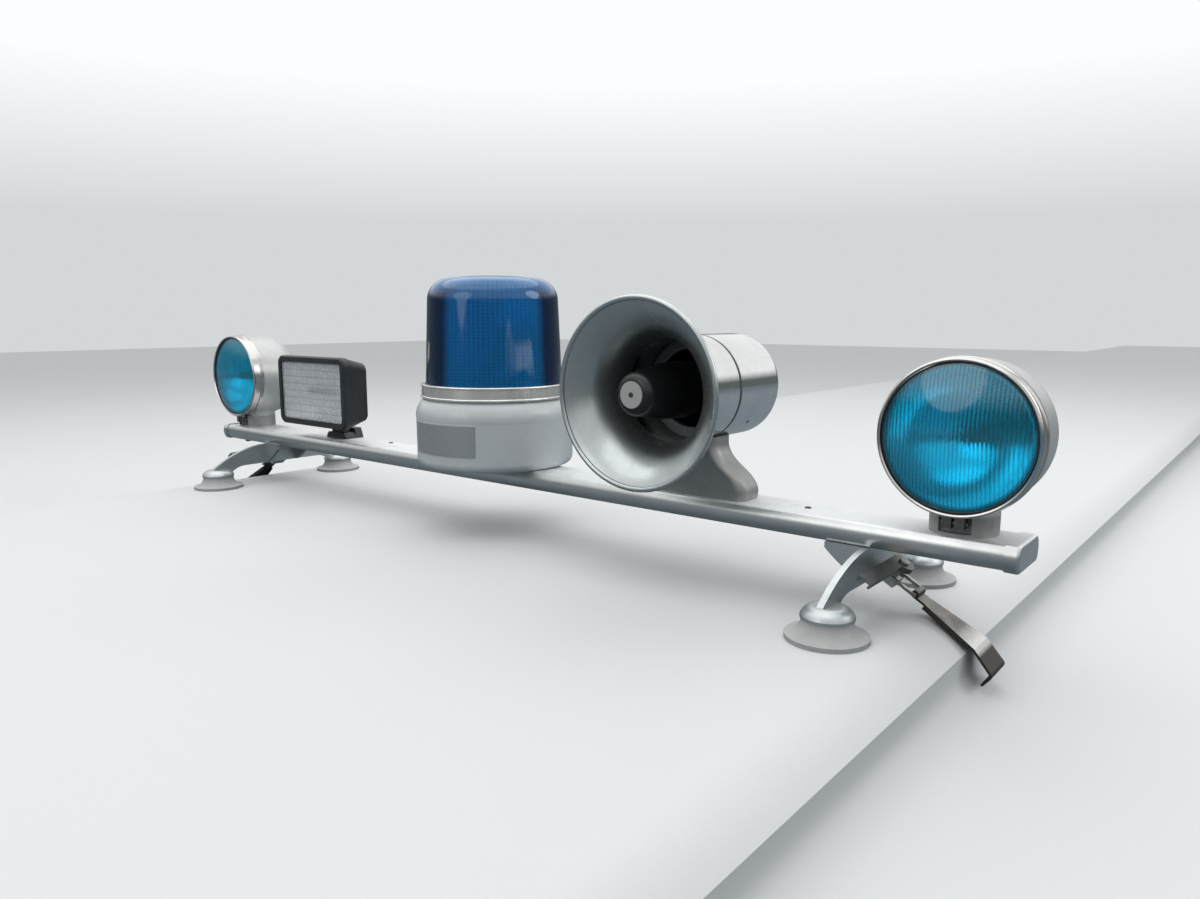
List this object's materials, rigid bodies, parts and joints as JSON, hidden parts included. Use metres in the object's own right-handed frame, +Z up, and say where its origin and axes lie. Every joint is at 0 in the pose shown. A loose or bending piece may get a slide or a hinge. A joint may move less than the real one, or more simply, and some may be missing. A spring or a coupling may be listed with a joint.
{
  "type": "patrol car roof light bar",
  "caption": "Roof bar on rubber feet with strap clamps, carrying a rotating blue beacon, a horn loudspeaker, round blue lamps and a work lamp",
  "frame": {"origin": "midway between the four rubber feet, on the plane they stand on", "axes": "+X along the bar towards the end that carries the horn, +Y to the rear, +Z up; the lamps face -Y"},
  "size_m": [1.4284, 0.316, 0.3957],
  "materials": {
    "bar_aluminium": "satin extruded aluminium, lightly oxidised",
    "cast_silver": "silver-grey paint on a casting",
    "cup_rubber": "weathered pale grey rubber",
    "black_rubber": "black rubber",
    "lever_steel": "dull grey plated steel",
    "frame_steel": "bright plating, worn",
    "strap_zinc": "zinc-plated strap, grimy and rubbed bright on the bends",
    "beacon_paint": "pale grey enamel, satin",
    "blank_plate": "blank plate, satin",
    "polished_band": "polished band",
    "blue_dome": "clear cobalt blue, glossy",
    "motor_grey": "grey enamel",
    "rotor_metal": "plain sheet",
    "silvered_bowl": "silvered inside",
    "clear_glass": "clear fluted glass",
    "blue_lens": "cyan blue fluted glass",
    "horn_aluminium": "matte spun aluminium",
    "pedestal_cast": "painted casting, satin",
    "drum_polished": "polished aluminium",
    "bullet_black": "black moulding",
    "disc_aluminium": "bare disc with a centre screw",
    "lamp_silver": "pale silver paint",
    "bezel_metal": "bright ring, weathered",
    "bulb_metal": "shaded bulb cap",
    "black_moulding": "black moulding"
  },
  "bodies": {
    "root": {"beacon_band": "polished_band", "beacon_base": "beacon_paint", "beacon_dome": "blue_dome", "beacon_motor": "motor_grey", "beacon_plate": "blank_plate", "bracket_left": "cast_silver", "bracket_right": "cast_silver", "cable_gland": "black_rubber", "cross_bar": "bar_aluminium", "cup_front_left": "cup_rubber", "cup_front_right": "cup_rubber", "cup_rear_left": "cup_rubber", "cup_rear_right": "cup_rubber", "end_cap_left": "bar_aluminium", "end_cap_right": "bar_aluminium", "horn_bell": "horn_aluminium", "horn_bullet": "bullet_black", "horn_drum_front": "drum_polished", "horn_drum_rear": "drum_polished", "horn_nose_disc": "disc_aluminium", "horn_pedestal": "pedestal_cast", "lamp_bezel_left": "bezel_metal", "lamp_bezel_right": "bezel_metal", "lamp_bowl_left": "lamp_silver", "lamp_bowl_right": "lamp_silver", "lamp_bulb_left": "bulb_metal", "lamp_bulb_right": "bulb_metal", "lamp_gasket_left": "black_rubber", "lamp_gasket_right": "black_rubber", "lamp_lens_left": "blue_lens", "lamp_lens_right": "blue_lens", "lamp_pedestal_left": "lamp_silver", "lamp_pedestal_right": "lamp_silver", "lamp_reflector_left": "silvered_bowl", "lamp_reflector_right": "silvered_bowl", "work_lamp_stud": "lever_steel"},
    "beacon_rotor": {"beacon_turntable": "rotor_metal", "rotor_bowl_front": "silvered_bowl", "rotor_bowl_rear": "silvered_bowl", "rotor_lens_front": "clear_glass", "rotor_lens_rear": "clear_glass"},
    "work_foot": {"work_lamp_foot": "black_moulding"},
    "work_lamp": {"work_lamp_bezel": "black_moulding", "work_lamp_bulb": "bulb_metal", "work_lamp_housing": "black_moulding", "work_lamp_lens": "clear_glass", "work_lamp_reflector": "silvered_bowl"},
    "lever_left": {"clamp_lever_left": "lever_steel"},
    "frame_left": {"clamp_frame_left": "frame_steel"},
    "strap_left": {"strap_hook_left": "strap_zinc"},
    "lever_right": {"clamp_lever_right": "lever_steel"},
    "frame_right": {"clamp_frame_right": "frame_steel"},
    "strap_right": {"strap_hook_right": "strap_zinc"}
  },
  "joints": [
    {"name": "beacon_spin", "type": "hinge", "parent": "root", "child": "beacon_rotor", "pos_m": [0.003, 0, 0.215], "axis": [0, 0, 1], "continuous": true},
    {"name": "work_pan", "type": "hinge", "parent": "root", "child": "work_foot", "pos_m": [-0.374, 0.011, 0.0907], "axis": [0, 0, 1], "range_deg": [-90, 90]},
    {"name": "work_tilt", "type": "hinge", "parent": "work_foot", "child": "work_lamp", "pos_m": [-0.374, 0.002, 0.1042], "axis": [1, 0, 0], "range_deg": [-35, 15]},
    {"name": "lever_left_swing", "type": "hinge", "parent": "root", "child": "lever_left", "pos_m": [-0.58186, 0.002, 0.04419], "axis": [0.5075, 0, -0.8616], "range_deg": [0, 165]},
    {"name": "frame_left_slide", "type": "slide", "parent": "root", "child": "frame_left", "axis": [-0.8616, 0, -0.5075], "range_m": [0, 0.007]},
    {"name": "strap_left_lift", "type": "hinge", "parent": "frame_left", "child": "strap_left", "pos_m": [-0.60167, 0, 0.02266], "axis": [0, 1, 0], "range_deg": [0, 52]},
    {"name": "lever_right_swing", "type": "hinge", "parent": "root", "child": "lever_right", "pos_m": [0.58186, 0.002, 0.04419], "axis": [0.5075, 0, 0.8616], "range_deg": [0, 165]},
    {"name": "frame_right_slide", "type": "slide", "parent": "root", "child": "frame_right", "axis": [0.8616, 0, -0.5075], "range_m": [0, 0.007]},
    {"name": "strap_right_lift", "type": "hinge", "parent": "frame_right", "child": "strap_right", "pos_m": [0.60167, 0, 0.02266], "axis": [0, -1, 0], "range_deg": [0, 52]}
  ],
  "couplings": [
    {"joint": "frame_left_slide", "follows": "lever_left_swing", "m_per_rad": 0.0024297},
    {"joint": "frame_right_slide", "follows": "lever_right_swing", "m_per_rad": 0.0024297}
  ]
}
